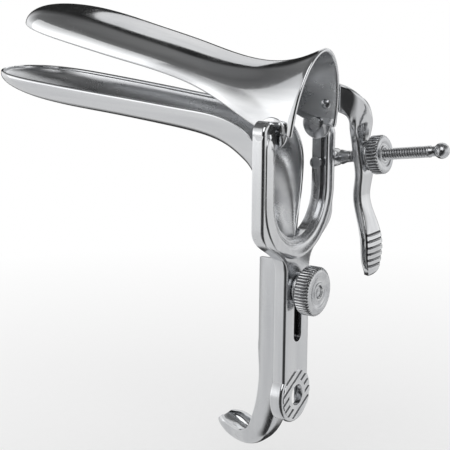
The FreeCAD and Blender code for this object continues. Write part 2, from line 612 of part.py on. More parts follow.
def main():
    os.makedirs("parts", exist_ok=True)
    save(yoke(), "yoke")
    save(hinge_pin(-1), "hinge_pin_near")
    save(hinge_pin(1), "hinge_pin_far")
    save(rod_pivot_pin(), "rod_pivot_pin")
    save(upper_blade(), "upper_blade")
    save(thumb_lever(), "thumb_lever")
    save(lever_rivet(), "lever_rivet")
    save(lower_blade(), "lower_blade")
    save(handle_strip(), "handle_strip")
    save(handle_rivets(), "handle_rivets")
    save(lock_stud(), "lock_stud")
    save(on_stud(domed_washer(LOCK_WASHER_RADIUS, LOCK_WASHER_LENGTH, STUD_RADIUS + BORE_CLEARANCE), SEAT_GAP),
         "lock_washer")
    save(on_stud(knurled_nut(LOCK_NUT_RADIUS, LOCK_NUT_LENGTH, STUD_RADIUS + BORE_CLEARANCE),
                 2 * SEAT_GAP + LOCK_WASHER_LENGTH), "lock_nut")
    save(setting_rod(), "setting_rod")
    save(rod_ball(), "rod_ball")
    reach = math.hypot(LEVER_HOLE[0] - ROD_PIVOT[0], LEVER_HOLE[1] - ROD_PIVOT[1])
    washer_start = reach + LEVER_BAR_DEPTH / 2 + LEVER_GAP
    nut_start = washer_start + SET_WASHER_LENGTH + SEAT_GAP
    rod_bore = ROD_RADIUS + BORE_CLEARANCE
    save(on_rod(domed_washer(SET_WASHER_RADIUS, SET_WASHER_LENGTH, rod_bore), washer_start), "setting_washer")
    save(on_rod(knurled_nut(SET_NUT_RADIUS, SET_NUT_LENGTH, rod_bore), nut_start), "setting_nut")


main()
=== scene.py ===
import bpy
import math
from mathutils import Matrix, Vector


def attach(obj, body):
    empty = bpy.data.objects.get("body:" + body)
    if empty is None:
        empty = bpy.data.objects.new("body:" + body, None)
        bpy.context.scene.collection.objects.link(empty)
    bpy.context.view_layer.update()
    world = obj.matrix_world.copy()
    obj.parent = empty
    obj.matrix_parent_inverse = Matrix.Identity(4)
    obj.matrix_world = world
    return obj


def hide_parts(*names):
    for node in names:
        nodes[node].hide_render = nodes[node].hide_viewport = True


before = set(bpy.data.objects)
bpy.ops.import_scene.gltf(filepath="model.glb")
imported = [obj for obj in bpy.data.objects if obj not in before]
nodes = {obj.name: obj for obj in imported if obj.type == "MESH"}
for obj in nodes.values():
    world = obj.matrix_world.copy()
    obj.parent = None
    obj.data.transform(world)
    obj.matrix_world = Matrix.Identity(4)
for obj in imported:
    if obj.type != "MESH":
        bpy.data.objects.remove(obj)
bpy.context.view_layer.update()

# Sizes in millimetres, measured from the hinge of the upper blade
MM = 0.001
PAD_FRONT = 2.8
HINGE_HEIGHT = 96.5
WALL = 1.5
RIM_BEAD = 0.85
AROUND_BLADE, AROUND_ROD = 40, 40
LOBE_OUTER = 15.7
LOBE_RADIUS = 5.6
UPPER_LENGTH, UPPER_HALF_WIDTH, UPPER_DEPTH, UPPER_RISE = 117.0, 16.5, 9.3, 11.0
UPPER_RIM_LIFT, FLARE_LENGTH = 9.5, 32.0
LOWER_LENGTH, LOWER_HALF_WIDTH, LOWER_DEPTH, LOWER_RISE = 130.0, 17.5, 7.6, 4.3
LOWER_RIM_LIFT, FORK_DEPTH = 2.2, 38.5
MOUTH_HEIGHT, MOUTH_EDGE = 27.0, 6.8
LEVER_Y, LEVER_HOLE, LEVER_BAR_DEPTH, LEVER_GAP = 29.0, (10.9, -12.6), 4.2, 0.4
ROD_PIVOT = Vector((-0.5, 29.0, -14.4))
ROD_RISE = math.radians(9.0)
ROD_LENGTH = 43.0
ROD_RADIUS = 2.1
THREAD_PITCH = 1.0
THREAD_CREST_FLOOR = 1.85
STUD_Z = -57.0
CROWN_FRONT, STRIP_FRONT = 2.4, 0.5
FORK_GAP_HALF, ARM_WIDTH = 16.0, 8.0
RIB_TOP, RIB_STEP, RIB_COUNT = -40.5, 2.3, 6
ROW_CROWDING = 1.6
MOULDING_HALF_WIDTH, MOULDING_RISE = 2.75, 1.15
SET_NUT_RADIUS, SET_NUT_LENGTH, SET_BORE = 6.99, 5.0, 2.15
LOCK_NUT_RADIUS, LOCK_NUT_LENGTH, LOCK_BORE = 8.8, 6.0, 2.35

# The photograph's view: angles in degrees, the camera's distance from the hinge in millimetres
PHOTO_SIZE = 450
CAMERA_ANGLES = (33.4, 12.7, 0.5)
CAMERA_DISTANCE = 485.0
PIXELS_PER_MM = 2.894
HINGE_PIXEL = (295.7, 128.1)
FLOOR_HEIGHT = -46 * MM
FLOOR_RADIUS = 0.62


def place(point):
    """A place measured from the hinge, in metres in the part's frame."""
    x, y, z = point
    return Vector(((x - PAD_FRONT) * MM, y * MM, (z + HINGE_HEIGHT) * MM))


def on_rod(point):
    """A place measured along the setting rod from its pivot."""
    x, y, z = point
    turned = Vector((x * math.cos(ROD_RISE) - z * math.sin(ROD_RISE), y,
                     x * math.sin(ROD_RISE) + z * math.cos(ROD_RISE)))
    return turned + ROD_PIVOT


def new_piece(name, points, faces, body, materials, smooth=True, to_frame=place):
    """A mesh from places measured from the hinge. materials is one material, or one per face."""
    mesh = bpy.data.meshes.new(name)
    mesh.from_pydata([to_frame(p) for p in points], [], faces)
    listed = materials if isinstance(materials, list) else [(materials, None)]
    for material, _ in listed:
        mesh.materials.append(material)
    for index, (_, chosen) in enumerate(listed):
        for k in chosen or ():
            mesh.polygons[k].material_index = index
    for polygon in mesh.polygons:
        polygon.use_smooth = smooth
    piece = bpy.data.objects.new(name, mesh)
    bpy.context.scene.collection.objects.link(piece)
    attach(piece, body)
    return piece


# Shared surface effects

def new_group(name, inputs, outputs):
    group = bpy.data.node_groups.new(name, "ShaderNodeTree")
    for socket, kind, value in inputs:
        made = group.interface.new_socket(name=socket, in_out="INPUT", socket_type=kind)
        made.default_value = value
    for socket, kind in outputs:
        group.interface.new_socket(name=socket, in_out="OUTPUT", socket_type=kind)
    return group, group.nodes.new("NodeGroupInput"), group.nodes.new("NodeGroupOutput")


def joined(tree, kind, links, **settings):
    """A node of the given kind, with its settings made and its inputs linked or set."""
    node = tree.nodes.new(kind)
    for key, value in settings.items():
        setattr(node, key, value)
    for socket, source in links.items():
        if isinstance(source, bpy.types.NodeSocket):
            tree.links.new(source, node.inputs[socket])
        else:
            node.inputs[socket].default_value = source
    return node


def ranged(tree, value, low, high, to_low, to_high):
    return joined(tree, "ShaderNodeMapRange", {"Value": value, "From Min": low, "From Max": high,
                                               "To Min": to_low, "To Max": to_high}).outputs["Result"]


def polishing_lines():
    """Fine lines that a polishing wheel leaves, drawn out along one axis."""
    group, given, out = new_group("polishing lines", [("Stretch", "NodeSocketVector", (1, 1, 1)),
                                                      ("Density", "NodeSocketFloat", 900)],
                                  [("Height", "NodeSocketFloat"), ("Streaks", "NodeSocketFloat")])
    where = joined(group, "ShaderNodeTexCoord", {}).outputs["Object"]
    drawn = joined(group, "ShaderNodeVectorMath", {0: where, 1: given.outputs["Stretch"]},
                   operation="MULTIPLY")
    fine = joined(group, "ShaderNodeTexNoise", {"Vector": drawn.outputs[0], "Detail": 4.0, "Roughness": 0.6,
                                                "Scale": given.outputs["Density"]})
    broad = joined(group, "ShaderNodeMath", {0: given.outputs["Density"], 1: 0.16}, operation="MULTIPLY")
    wide = joined(group, "ShaderNodeTexNoise", {"Vector": drawn.outputs[0], "Scale": broad.outputs[0],
                                                "Detail": 3.0, "Roughness": 0.55})
    group.links.new(fine.outputs["Fac"], out.inputs["Height"])
    group.links.new(ranged(group, wide.outputs["Fac"], 0.35, 0.65, 0, 1), out.inputs["Streaks"])
    return group


def handling_marks():
    """Soft patches and hair scratches left by handling and by washing."""
    group, given, out = new_group("handling marks", [("Patch Scale", "NodeSocketFloat", 60),
                                                     ("Scratch Scale", "NodeSocketFloat", 160)],
                                  [("Patches", "NodeSocketFloat"), ("Scratches", "NodeSocketFloat")])
    where = joined(group, "ShaderNodeTexCoord", {}).outputs["Object"]
    patches = joined(group, "ShaderNodeTexNoise", {"Vector": where, "Scale": given.outputs["Patch Scale"],
                                                   "Detail": 5.0, "Roughness": 0.6, "Distortion": 0.4})
    bent = joined(group, "ShaderNodeTexNoise", {"Vector": where, "Scale": 40.0, "Detail": 2.0})
    mixed = joined(group, "ShaderNodeMix", {"Factor": 0.06, "A": where, "B": bent.outputs["Color"]},
                   data_type="VECTOR")
    cells = joined(group, "ShaderNodeTexVoronoi", {"Vector": mixed.outputs[1],
                                                   "Scale": given.outputs["Scratch Scale"]},
                   feature="DISTANCE_TO_EDGE")
    group.links.new(ranged(group, patches.outputs["Fac"], 0.4, 0.68, 0, 1), out.inputs["Patches"])
    group.links.new(ranged(group, cells.outputs["Distance"], 0.0, 0.012, 1, 0), out.inputs["Scratches"])
    return group


def edge_rub():
    """Marks the edges and corners that use has rubbed bright."""
    group, given, out = new_group("edge rub", [("Spread", "NodeSocketFloat", 0.0008)],
                                  [("Rubbed", "NodeSocketFloat")])
    rounded = joined(group, "ShaderNodeBevel", {"Radius": given.outputs["Spread"]}, samples=6)
    true = joined(group, "ShaderNodeNewGeometry", {}).outputs["Normal"]
    alike = joined(group, "ShaderNodeVectorMath", {0: rounded.outputs[0], 1: true}, operation="DOT_PRODUCT")
    group.links.new(ranged(group, alike.outputs["Value"], 0.99, 0.85, 0, 1), out.inputs["Rubbed"])
    return group


LINES, MARKS, RUB = polishing_lines(), handling_marks(), edge_rub()


def steel(name, dark, pale, smooth, rough, stretch, density, line_depth):
    """Polished or satin steel: streaked colour, uneven gloss, fine lines and bright rubbed edges."""
    material = bpy.data.materials.new(name)
    material.use_nodes = True
    tree = material.node_tree
    shader = tree.nodes["Principled BSDF"]
    shader.inputs["Metallic"].default_value = 1.0
    lines = joined(tree, "ShaderNodeGroup", {}, node_tree=LINES)
    lines.inputs["Stretch"].default_value = stretch
    lines.inputs["Density"].default_value = density
    marks = joined(tree, "ShaderNodeGroup", {}, node_tree=MARKS)
    rub = joined(tree, "ShaderNodeGroup", {}, node_tree=RUB)
    tone = joined(tree, "ShaderNodeMix", {"Factor": lines.outputs["Streaks"],
                                          "A": (*dark, 1), "B": (*pale, 1)}, data_type="RGBA")
    bright = tuple(min(1.0, c * 1.08) for c in pale)
    edge = joined(tree, "ShaderNodeMix", {"Factor": rub.outputs["Rubbed"], "A": tone.outputs[2],
                                          "B": (*bright, 1)}, data_type="RGBA")
    tree.links.new(edge.outputs[2], shader.inputs["Base Color"])
    patchy = ranged(tree, marks.outputs["Patches"], 0, 1, smooth, rough)
    scratched = joined(tree, "ShaderNodeMath", {0: marks.outputs["Scratches"], 1: 0.12, 2: patchy},
                       operation="MULTIPLY_ADD")
    tree.links.new(scratched.outputs[0], shader.inputs["Roughness"])
    bump = joined(tree, "ShaderNodeBump", {"Height": lines.outputs["Height"], "Distance": line_depth * MM,
                                           "Strength": 0.5})
    tree.links.new(bump.outputs[0], shader.inputs["Normal"])
    return material


BLADE_OUTSIDE = steel("mirror polished blade", (0.70, 0.71, 0.73), (0.82, 0.83, 0.84), 0.09, 0.17,
                      (0.06, 1, 1), 900, 0.010)
# The inside is a rougher satin finish; its darker tone than the outside is painted shade of the trough.
BLADE_INSIDE = steel("satin inside of blade with painted shade", (0.60, 0.61, 0.63), (0.72, 0.73, 0.74), 0.26, 0.36,
                     (0.05, 1, 1), 1300, 0.030)
FRAME_STEEL = steel("polished pressed yoke", (0.66, 0.67, 0.69), (0.79, 0.80, 0.81), 0.13, 0.23,
                    (1, 1, 0.06), 1000, 0.015)
LEVER_STEEL = steel("polished forged lever", (0.66, 0.67, 0.69), (0.80, 0.81, 0.82), 0.12, 0.22,
                    (1, 1, 0.08), 900, 0.015)
TURNED_STEEL = steel("turned steel", (0.55, 0.56, 0.58), (0.72, 0.73, 0.74), 0.20, 0.32,
                     (0.1, 1, 1), 1400, 0.020)
THREAD_STEEL = steel("cut thread", (0.50, 0.51, 0.53), (0.68, 0.69, 0.70), 0.24, 0.36,
                     (1, 1, 1), 1200, 0.020)


# Near-black steel for the faces deep in knurls and thread roots: painted shade where the grooves hold
# shadow.
GROOVE_PAINTED_SHADE = steel("painted shade in grooves", (0.10, 0.10, 0.105), (0.20, 0.20, 0.21), 0.34, 0.48,
                     (1, 1, 1), 1200, 0.020)
STRIP_STEEL = steel("pressed strip", (0.62, 0.63, 0.65), (0.76, 0.77, 0.78), 0.15, 0.26,
                    (1, 1, 0.06), 1000, 0.015)


def paint_slot_shade(material, behind, ahead):
    """Paints shade, near black, on the face that slides inside the yoke and shows through its slot, between
    two places along the part's depth.
    """
    tree = material.node_tree
    shader = tree.nodes["Principled BSDF"]
    painted = shader.inputs["Base Color"].links[0].from_socket
    place_in_part = joined(tree, "ShaderNodeTexCoord", {}).outputs["Object"]
    depth = joined(tree, "ShaderNodeSeparateXYZ", {"Vector": place_in_part}).outputs["X"]
    mask = ranged(tree, depth, behind, ahead, 0, 1)
    # Near-black painted shadow where the face lies in shade behind the slot.
    painted_shadow = joined(tree, "ShaderNodeMix", {"Factor": mask, "A": painted, "B": (0.07, 0.07, 0.075, 1)},
                     data_type="RGBA")
    tree.links.new(painted_shadow.outputs[2], shader.inputs["Base Color"])


def paint_rib_shade(material, first, step, count, width):
    """Paints shade, near black, into the grooves across the thumb pad."""
    tree = material.node_tree
    shader = tree.nodes["Principled BSDF"]
    painted = shader.inputs["Base Color"].links[0].from_socket
    coordinates = joined(tree, "ShaderNodeTexCoord", {})
    height = joined(tree, "ShaderNodeSeparateXYZ", {"Vector": coordinates.outputs["Object"]}).outputs["Z"]
    facing = joined(tree, "ShaderNodeSeparateXYZ", {"Vector": coordinates.outputs["Normal"]}).outputs["X"]
    rib = ranged(tree, height, first + step * 0.5, first - step * (count - 0.5), -0.5, count - 0.5)
    off = joined(tree, "ShaderNodeMath", {0: rib, 1: 0.5}, operation="PINGPONG").outputs[0]
    groove = ranged(tree, off, width, width * 0.4, 0, 1)
    front = ranged(tree, facing, 0.2, 0.5, 0, 1)
    below = joined(tree, "ShaderNodeMath", {0: height, 1: first + step * 0.4},
                   operation="LESS_THAN").outputs[0]
    above = joined(tree, "ShaderNodeMath", {0: height, 1: first - step * (count - 0.6)},
                   operation="GREATER_THAN").outputs[0]
    mask = groove
    for limit in (front, below, above):
        mask = joined(tree, "ShaderNodeMath", {0: mask, 1: limit}, operation="MULTIPLY").outputs[0]
    # Near-black painted shade in the rib grooves.
    shaded = joined(tree, "ShaderNodeMix", {"Factor": mask, "A": painted, "B": (0.05, 0.05, 0.055, 1)},
                    data_type="RGBA")
    tree.links.new(shaded.outputs[2], shader.inputs["Base Color"])


# The thumb pad's rib grooves get painted shade.
paint_rib_shade(LEVER_STEEL, place((0, 0, RIB_TOP)).z, RIB_STEP * MM, RIB_COUNT, 0.27)
# The strip's front face, seen through the slot, gets painted shade.
paint_slot_shade(STRIP_STEEL, place((STRIP_FRONT - 0.35, 0, 0)).x, place((STRIP_FRONT - 0.1, 0, 0)).x)


def dress(node, material):
    slots = nodes[node].material_slots
    for slot in slots:
        slot.material = material


dress("yoke", FRAME_STEEL)
dress("handle_strip", STRIP_STEEL)
for node in ("upper_blade", "lower_blade"):
    dress(node, BLADE_OUTSIDE)
dress("thumb_lever", LEVER_STEEL)
for node in ("hinge_pin_near", "hinge_pin_far", "rod_pivot_pin", "lever_rivet", "handle_rivets",
             "lock_stud", "lock_washer", "lock_nut", "setting_rod", "rod_ball", "setting_washer",
             "setting_nut"):
    dress(node, TURNED_STEEL)


# Pieces that stand for plain CAD solids

def bent_line(stations, count):
    """Rows of values on a smooth line through the stations, closest together at its start."""
    knots = [0.0]
    for before, after in zip(stations, stations[1:]):
        steps = [before[i] - after[i] for i in (0, 1, 3)]
        knots.append(knots[-1] + math.hypot(*steps))
    last = len(knots) - 1
    columns = []
    for column in zip(*stations):
        upper, right = [0.0] * (last + 1), [0.0] * (last + 1)
        for k in range(1, last):
            left, ahead = knots[k] - knots[k - 1], knots[k + 1] - knots[k]
            bend = 6 * ((column[k + 1] - column[k]) / ahead - (column[k] - column[k - 1]) / left)
            pivot = 2 * (left + ahead) - left * upper[k - 1]
            upper[k] = ahead / pivot
            right[k] = (bend - left * right[k - 1]) / pivot
        curve = [0.0] * (last + 1)
        for k in range(last - 1, 0, -1):
            curve[k] = right[k] - upper[k] * curve[k + 1]
        columns.append(curve)
    rows = []
    for step in range(count):
        along = knots[-1] * (step / (count - 1)) ** ROW_CROWDING
        k = min(max(i for i, knot in enumerate(knots) if knot <= along + 1e-9), last - 1)
        width = knots[k + 1] - knots[k]
        a, b = (knots[k + 1] - along) / width, (along - knots[k]) / width
        rows.append([a * column[k] + b * column[k + 1]
                     + ((a ** 3 - a) * curve[k] + (b ** 3 - b) * curve[k + 1]) * width ** 2 / 6
                     for column, curve in zip(zip(*stations), columns)])
    return rows


def skin(rows, closed_around=True, capped=True):
    """Faces that join rows of the same number of points, with flat caps at both ends."""
    size = len(rows[0])
    faces = []
    for r in range(len(rows) - 1):
        for k in range(size if closed_around else size - 1):
            n = (k + 1) % size
            faces.append((r * size + k, r * size + n, (r + 1) * size + n, (r + 1) * size + k))
    if capped:
        faces.append(tuple(range(size))[::-1])
        faces.append(tuple((len(rows) - 1) * size + k for k in range(size)))
    return [p for row in rows for p in row], faces


def trough_rows(stations, count, around):
    """Rows of points for a blade: outside, rolled rim, inside, rolled rim, with rounded ends."""
    rows = []
    lines = bent_line(stations, count)
    for step, (x, z, lean, wide, deep) in enumerate(lines):
        ends = [(1.0, 0.0)]
        if step in (0, count - 1):
            ends = [(math.cos(t), math.sin(t)) for t in (0, 0.4, 0.8, 1.15, 1.4)]
            if step == 0:
                ends = ends[::-1]
        other = lines[1] if step == 0 else lines[step - 1]
        onward = Vector((x - other[0], 0, z - other[1])).normalized()
        down = Vector((math.cos(math.radians(lean)), 0, math.sin(math.radians(lean))))
        rim_rise = 1.1 - 0.8 * min(1.0, max(0.0, (abs(lean) - 95) / 45))
        for thick, push in ends:
            row = []
            middle = Vector((x, 0, z)) + onward * push * WALL / 2

            def at(side, below):
                return middle + Vector((0, side, 0)) + down * below

            half = WALL / 2
            for offset, order in ((half * thick, 1), (-half * thick, -1)):
                for k in range(around + 1):
                    angle = order * math.pi * (k / around - 0.5)
                    row.append(at((wide + half + offset) * math.sin(angle),
                                  (deep + half + offset) * math.cos(angle)))
                side = order * (wide + half)
                roll = max(half, RIM_BEAD) * thick
                for k in range(1, 8):
                    turn = math.pi * k / 8
                    row.append(at(side + order * offset / half * roll * math.cos(turn) if thick > 0.2
                                  else side, -roll * math.sin(turn) * rim_rise))
            rows.append(row)
    return rows


def blade(name, node, body, stations, count):
    """A blade with a mirror outside and a satin inside, whose darker tone is painted shade."""
    around = AROUND_BLADE
    rows = trough_rows(stations, count, around)
    points, faces = skin(rows)
    size = len(rows[0])
    inside = [f for f, face in enumerate(faces)
              if len(face) == 4 and around + 9 <= face[0] % size < size - 9]
    piece = new_piece(name, points, faces, body,
                      [(BLADE_OUTSIDE, None), (BLADE_INSIDE, inside)])
    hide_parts(node)
    return piece


def disc(name, centre, radius, y_from, y_to, body, material, edge=0.35):
    """A round plate across the part, with rounded edges."""
    around = 64
    rows = []
    soft = edge * 0.3
    for y, r in ((y_from, radius - edge), (y_from + soft, radius - soft), (y_from + edge, radius),
                 (y_to - edge, radius), (y_to - soft, radius - soft), (y_to, radius - edge)):
        rows.append([Vector((centre[0] + r * math.cos(2 * math.pi * k / around), y,
                             centre[1] + r * math.sin(2 * math.pi * k / around))) for k in range(around)])
    points, faces = skin(rows)
    return new_piece(name, points, faces, body, material)


def upper_blade():
    lean = 90 - UPPER_RISE
    slope = math.tan(math.radians(UPPER_RISE))
    stations = []
    for along, wide, deep in ((0.9925, 0.002, 0.01), (0.989, 0.21, 0.12), (0.975, 0.45, 0.34),
                              (0.925, 0.77, 0.65), (0.84, 0.96, 0.88), (0.72, 1.0, 1.0),
                              (0.555, 0.97, 0.97), (0.39, 0.91, 0.92)):
        x = -along * UPPER_LENGTH
        stations.append((x, UPPER_RIM_LIFT - x * slope, lean, UPPER_HALF_WIDTH * wide, UPPER_DEPTH * deep))
    swell = UPPER_RIM_LIFT + FLARE_LENGTH * slope
    mouth_half = LOBE_OUTER - WALL
    for back, lift, turn, deep in ((1.0, 0.92, 0, 0.34), (0.625, 0.59, 0, 0.46), (0.28, 0.23, 0, 0.68),
                                   (0.03, 0.05, 1, 0.86)):
        stations.append((-FLARE_LENGTH * back, swell * lift, lean + turn, mouth_half, MOUTH_HEIGHT * deep))
    stations.append((MOUTH_EDGE, 0, lean + 3, mouth_half, MOUTH_HEIGHT))
    shell = blade("upper_blade_shell", "upper_blade", "upper_blade", stations, 130)
    for side, name in ((-1, "near_hinge_lobe"), (1, "far_hinge_lobe")):
        low, high = sorted((side * mouth_half, side * LOBE_OUTER))
        disc(name, (0, 0), LOBE_RADIUS, low, high, "upper_blade", BLADE_OUTSIDE)
    return shell


def lower_blade():
    slope = math.tan(math.radians(LOWER_RISE))
    stations = []
    for along, wide, deep in ((0.9925, 0.002, 0.01), (0.989, 0.21, 0.12), (0.976, 0.45, 0.32),
                              (0.935, 0.75, 0.6), (0.86, 0.95, 0.86),
                              (0.75, 1.0, 1.0), (0.58, 0.97, 1.0), (0.4, 0.89, 1.03), (0.27, 0.85, 1.12)):
        x = -along * LOWER_LENGTH
        stations.append((x, LOWER_RIM_LIFT - x * slope, -90 - LOWER_RISE, LOWER_HALF_WIDTH * wide,
                         LOWER_DEPTH * deep))
    for x, drop, lean, wide, deep in ((-21.6, -0.09, -104, 0.83, 1.4), (-10.5, 0.03, -127, 0.8, 1.6),
                                      (-5.2, 0.235, -150, 0.71, 1.35), (-3.6, 0.49, -166, 0.59, 0.95),
                                      (-3.2, 0.755, -175, 0.45, 0.5), (-2.4, 0.99, -180, 0.28, 0.18)):
        stations.append((x, -drop * FORK_DEPTH, lean, LOWER_HALF_WIDTH * wide, LOWER_DEPTH * deep))
    stations.append((-1.1, -44.6, -180, 3.45, 0.3))
    stations.append((-1.1, -51.8, -180, 3.45, 0.0))
    return blade("lower_blade_shell", "lower_blade", "lower_blade", stations, 150)


def turned_rows(profile, around, knurls=0, band=(0, 0), cut=0.0):
    """Rows round the X axis from (along, radius) pairs, with straight knurling over a band."""
    rows = []
    for x, radius in profile:
        row = []
        for k in range(around):
            angle = 2 * math.pi * k / around
            depth = 0.0
            if knurls and band[0] <= x <= band[1]:
                depth = cut * (0.5 - 0.5 * math.cos(angle * knurls)) ** 0.7
            row.append(Vector((x, (radius - depth) * math.cos(angle), (radius - depth) * math.sin(angle))))
        rows.append(row)
    return rows


def on_stud(point):
    x, y, z = point
    return Vector((x, y, z + STUD_Z))


def turned_piece(name, node, body, profile, start, to_frame, around=96, **knurling):
    points, faces = skin(turned_rows(profile, around, **knurling), capped=False)
    # The faces deep in the knurling get the near-black painted shade.
    grooves = []
    if knurling:
        outside = max(radius for _, radius in profile)
        floor = outside - knurling["cut"] * 0.55
        for f, face in enumerate(faces):
            reach = [math.hypot(points[k][1], points[k][2]) for k in face]
            inside_band = knurling["band"][0] <= min(points[k][0] for k in face)
            if inside_band and max(reach) < floor and min(reach) > outside * 0.9:
                grooves.append(f)
    piece = new_piece(name, points, faces, body, [(TURNED_STEEL, None), (GROOVE_PAINTED_SHADE, grooves)],
                      to_frame=lambda p: place(to_frame((p[0] + start, p[1], p[2]))))
    if node:
        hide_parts(node)
    return piece


def knurled_nut(name, node, body, radius, length, bore, knurls, start, to_frame):
    """A round nut: knurled rim between two bevels, a dished face and a raised ring round its bore."""
    b = radius / 11
    dish = radius * 0.62
    profile = [(0, bore), (0, radius - b * 1.6), (b * 0.25, radius - b * 1.1), (b, radius - b * 0.15),
               (b * 1.25, radius), (length * 0.5, radius), (length - b * 1.25, radius),
               (length - b, radius - b * 0.15), (length - b * 0.25, radius - b * 1.1),
               (length, radius - b * 1.6), (length, dish + 0.35), (length - 0.12, dish + 0.1),
               (length - 0.35, dish - 0.1), (length - 0.4, bore + 1.25), (length - 0.3, bore + 1.05),
               (length, bore + 0.9), (length, bore + 0.25), (length - 0.2, bore), (length * 0.5, bore),
               (0, bore)]
    return turned_piece(name, node, body, profile, start, to_frame, around=knurls * 8, knurls=knurls,
                        band=(b * 0.9, length - b * 0.9), cut=radius * 0.05)


def domed_washer(name, node, body, radius, length, bore, start, to_frame):
    profile = [(0, bore), (0, radius * 0.86), (length * 0.12, radius * 0.96), (length * 0.35, radius),
               (length * 0.6, radius * 0.97), (length * 0.85, radius * 0.86), (length, radius * 0.72),
               (length, bore), (length * 0.5, bore), (0, bore)]
    return turned_piece(name, node, body, profile, start, to_frame)


def threaded_rows(start, end, crest, root, pitch, around=40, steps=8):
    """Rows round the X axis for a cut thread that fades in and out at its ends."""
    rows = []
    count = int((end - start) / pitch * steps)
    for step in range(count + 1):
        x = start + (end - start) * step / count
        fade = min(1.0, (x - start) / pitch, (end - x) / pitch)
        row = []
        for k in range(around):
            share = (x / pitch - k / around) % 1.0
            tooth = 1 - abs(2 * share - 1)
            radius = crest - (crest - root) * fade * (1 - min(1.0, 1.35 * tooth))
            angle = 2 * math.pi * k / around
            row.append(Vector((x, radius * math.cos(angle), radius * math.sin(angle))))
        rows.append(row)
    return rows


def thread_roots(points, faces, below):
    """The faces of a thread that lie below a radius, between its start and its end."""
    found = []
    for f, face in enumerate(faces):
        reach = [math.hypot(points[k][1], points[k][2]) for k in face]
        if len(face) == 4 and max(reach) < below and 6.6 < points[face[0]][0] < ROD_LENGTH - 4.5:
            found.append(f)
    return found


def setting_rod():
    """The threaded rod with its tapered neck, its eye and the ball at its end."""
    profile = [(2.6, 2.0), (3.4, 2.7), (5.3, ROD_RADIUS), (6.4, ROD_RADIUS)]
    rows = turned_rows(profile, 40) + threaded_rows(6.5, ROD_LENGTH - 4.4, ROD_RADIUS, 1.5, THREAD_PITCH)
    rows += turned_rows([(ROD_LENGTH - 4.3, ROD_RADIUS), (ROD_LENGTH - 4.0, 1.8), (ROD_LENGTH - 2.4, 1.8)],
                        AROUND_ROD)
    points, faces = skin(rows)
    # The thread roots get the near-black painted shade.
    rod = new_piece("threaded_setting_rod", points, faces, "setting_rod",
                    [(THREAD_STEEL, None), (GROOVE_PAINTED_SHADE, thread_roots(points, faces, THREAD_CREST_FLOOR))],
                    to_frame=lambda p: place(on_rod(p)))
    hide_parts("setting_rod")
    disc("setting_rod_eye", (ROD_PIVOT.x, ROD_PIVOT.z), 3.2, LEVER_Y - 2.2, LEVER_Y + 2.2, "setting_rod",
         TURNED_STEEL, edge=0.5)
    radius = 2.8
    ball = [(-radius * math.cos(t), radius * math.sin(t)) for t in [0.7 + 0.1 * k for k in range(22)]]
    ball += [(radius * 0.96, radius * 0.2), (radius * 0.96, 0.01)]
    turned_piece("rod_ball", "rod_ball", "setting_rod", ball, ROD_LENGTH, on_rod, around=48)


def nuts_and_washers():
    reach = math.hypot(LEVER_HOLE[0] - ROD_PIVOT.x, LEVER_HOLE[1] - ROD_PIVOT.z)
    washer = reach + LEVER_BAR_DEPTH / 2 + LEVER_GAP
    domed_washer("setting_collar", "setting_washer", "setting_washer", 4.8, 1.8, SET_BORE, washer, on_rod)
    knurled_nut("setting_nut", "setting_nut", "setting_nut", SET_NUT_RADIUS, SET_NUT_LENGTH, SET_BORE, 36,
                washer + 1.9, on_rod)
    domed_washer("lock_collar", "lock_washer", "lock_washer", 5.8, 2.4, LOCK_BORE, 2.5, on_stud)
    knurled_nut("lock_nut", "lock_nut", "lock_nut", LOCK_NUT_RADIUS, LOCK_NUT_LENGTH, LOCK_BORE, 46,
                5.0, on_stud)


def clamping_stud():
    """The stud: a head in the strip, a plain shank in the slot, a thread and a dished end."""
    rows = turned_rows([(-3.0, 3.5), (-2.7, 3.9), (-1.3, 3.9), (-1.0, 3.6), (-1.0, 2.25), (2.4, 2.25)], 40)
    rows += threaded_rows(2.5, 9.9, 2.28, 1.9, 0.9)
    rows += turned_rows([(10.1, 2.2), (10.45, 1.95), (10.45, 1.1), (10.2, 0.9), (10.2, 0.02)], 40)
    points, faces = skin(rows)
    stud = new_piece("clamping_stud", points, faces, "lower_blade", THREAD_STEEL,
                     to_frame=lambda p: place(on_stud(p)))
    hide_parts("lock_stud")


def yoke_moulding():
    """The rounded moulding that runs down one arm, round the U and up the other."""
    inset = FORK_GAP_HALF + ARM_WIDTH * 0.58
    bend_z = -FORK_DEPTH + FORK_GAP_HALF
    path = [(-inset, 0.5 - 2.3 * k, -1, 0) for k in range(10)]
    path += [(-inset * math.cos(t), bend_z - inset * math.sin(t), -math.cos(t), -math.sin(t))
             for t in [math.pi * k / 36 for k in range(1, 36)]]
    path += [(inset, 0.5 - 2.3 * k, 1, 0) for k in reversed(range(10))]
    rows = []
    last = len(path) - 1
    for step, (y, z, out_y, out_z) in enumerate(path):
        taper = min(1.0, (min(step, last - step) + 0.35) / 2.0)
        row = []
        for k in range(13):
            turn = math.pi * k / 12
            side = MOULDING_HALF_WIDTH * math.cos(turn) * taper
            rise = MOULDING_RISE * math.sin(turn) ** 0.8 * taper
            row.append(Vector((CROWN_FRONT - 0.15 + rise, y + out_y * side, z + out_z * side)))
        for k in (1, 2, 3):
            side = MOULDING_HALF_WIDTH * (k / 2 - 1) * taper
            row.append(Vector((CROWN_FRONT - 0.5, y + out_y * side, z + out_z * side)))
        rows.append(row)
    points, faces = skin(rows)
    new_piece("yoke_moulding", points, faces, "yoke", FRAME_STEEL)


upper_blade()
lower_blade()
yoke_moulding()
setting_rod()
nuts_and_washers()
clamping_stud()


# Studio

CAMERA_SIDE, FAR_SIDE = (0.5, -0.866, 0), (-0.5, 0.866, 0)


